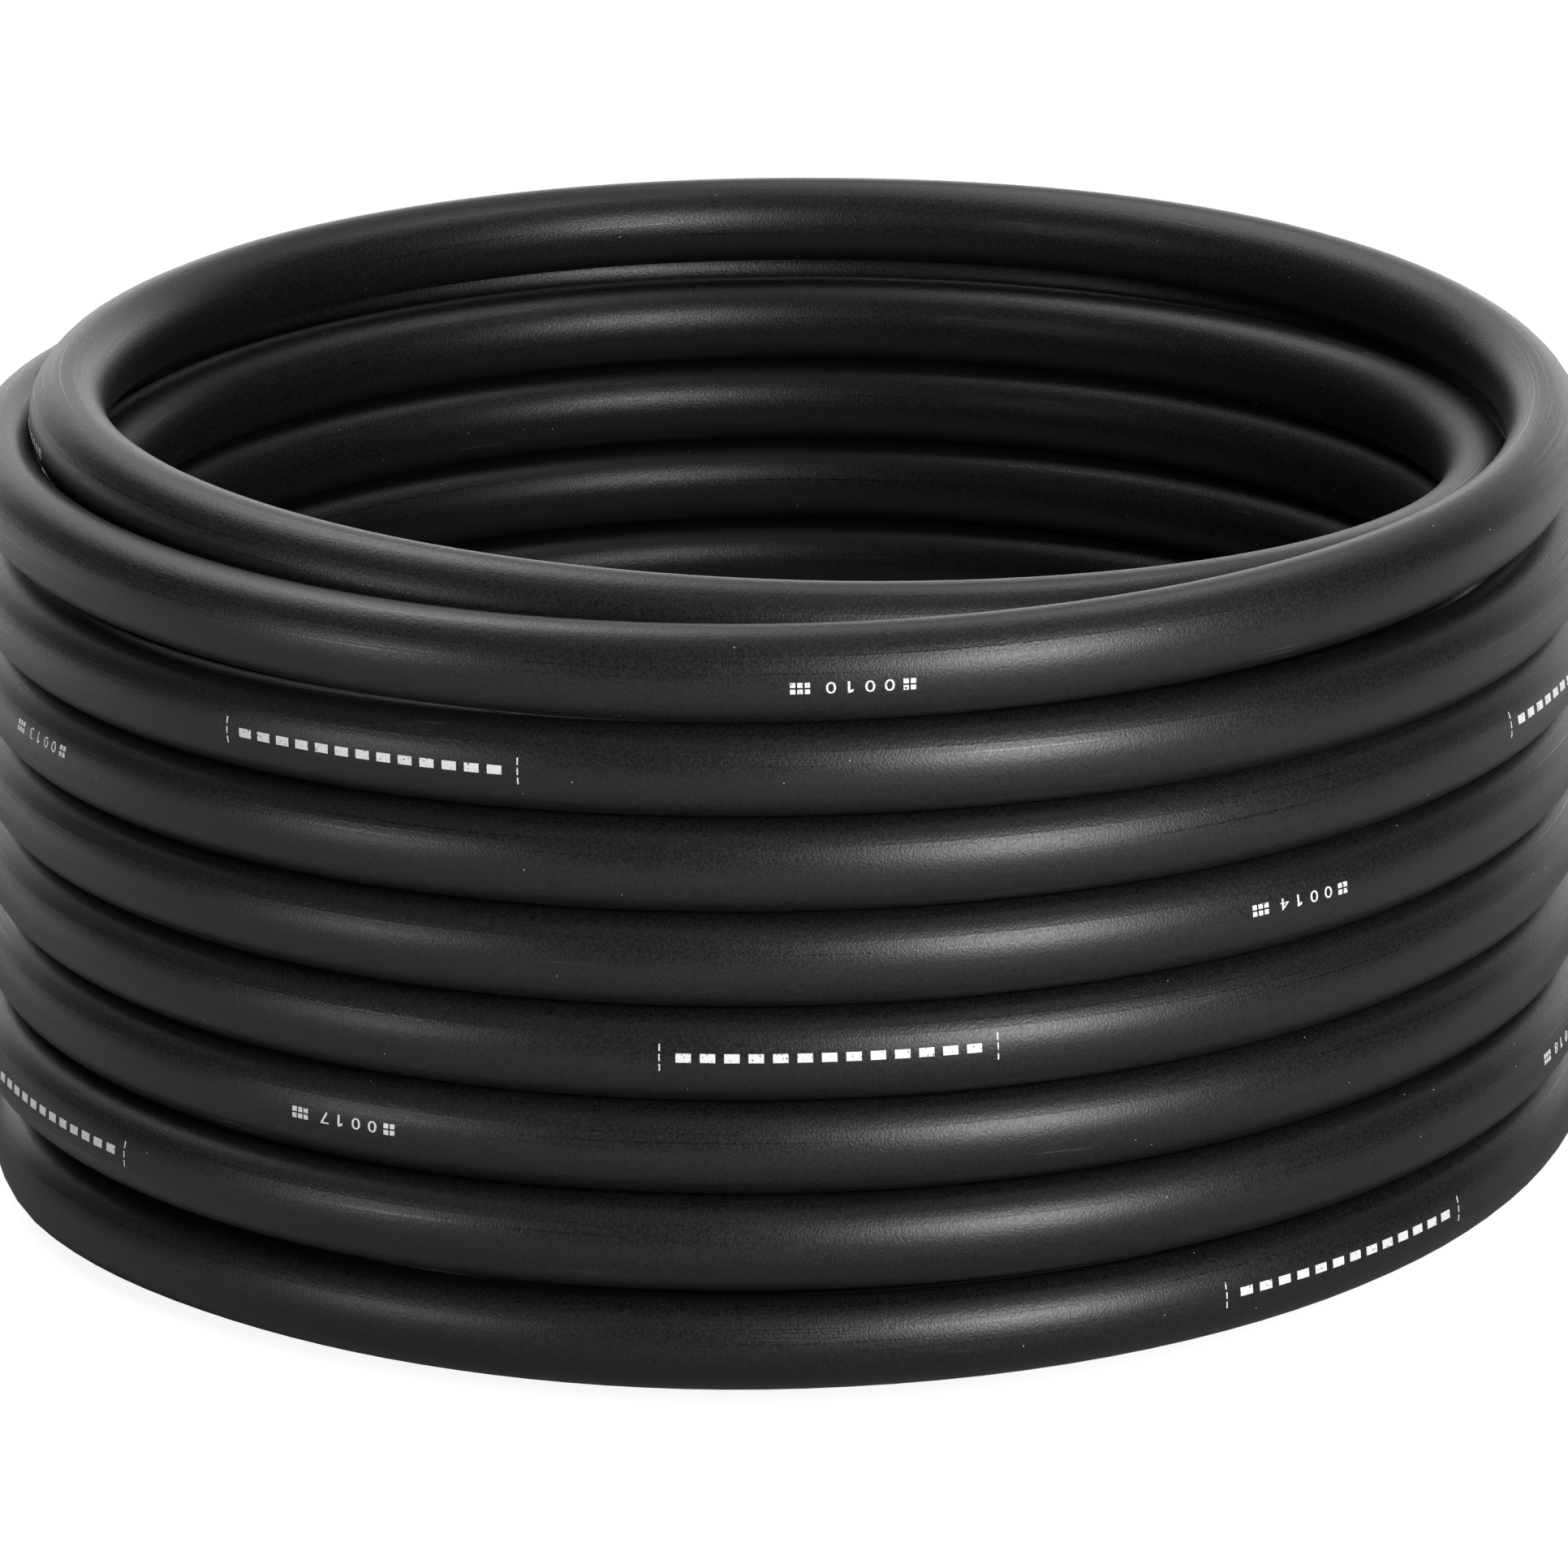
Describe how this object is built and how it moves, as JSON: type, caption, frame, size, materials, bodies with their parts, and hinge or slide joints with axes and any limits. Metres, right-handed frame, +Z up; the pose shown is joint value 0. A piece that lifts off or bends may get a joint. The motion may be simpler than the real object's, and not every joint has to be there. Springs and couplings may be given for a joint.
{
  "type": "coiled irrigation pipe",
  "caption": "Free-standing coil of smooth black polyethylene irrigation pipe, wound in layers round an open eye, with both cut ends free to take a barbed or compression fitting.",
  "frame": {"origin": "on the floor under the middle of the coil, on the axis that the turns go round", "axes": "+Z up along the coil's axis, -Y towards the side seen in the picture, +X to the right as seen from there"},
  "size_m": [0.4619, 0.4619, 0.2323],
  "materials": {
    "black_pipe": "satin, finely grained polyethylene"
  },
  "bodies": {
    "root": {"coiled_pipe": "black_pipe", "inner_pipe_end": "black_pipe", "outer_pipe_end": "black_pipe"}
  },
  "joints": []
}
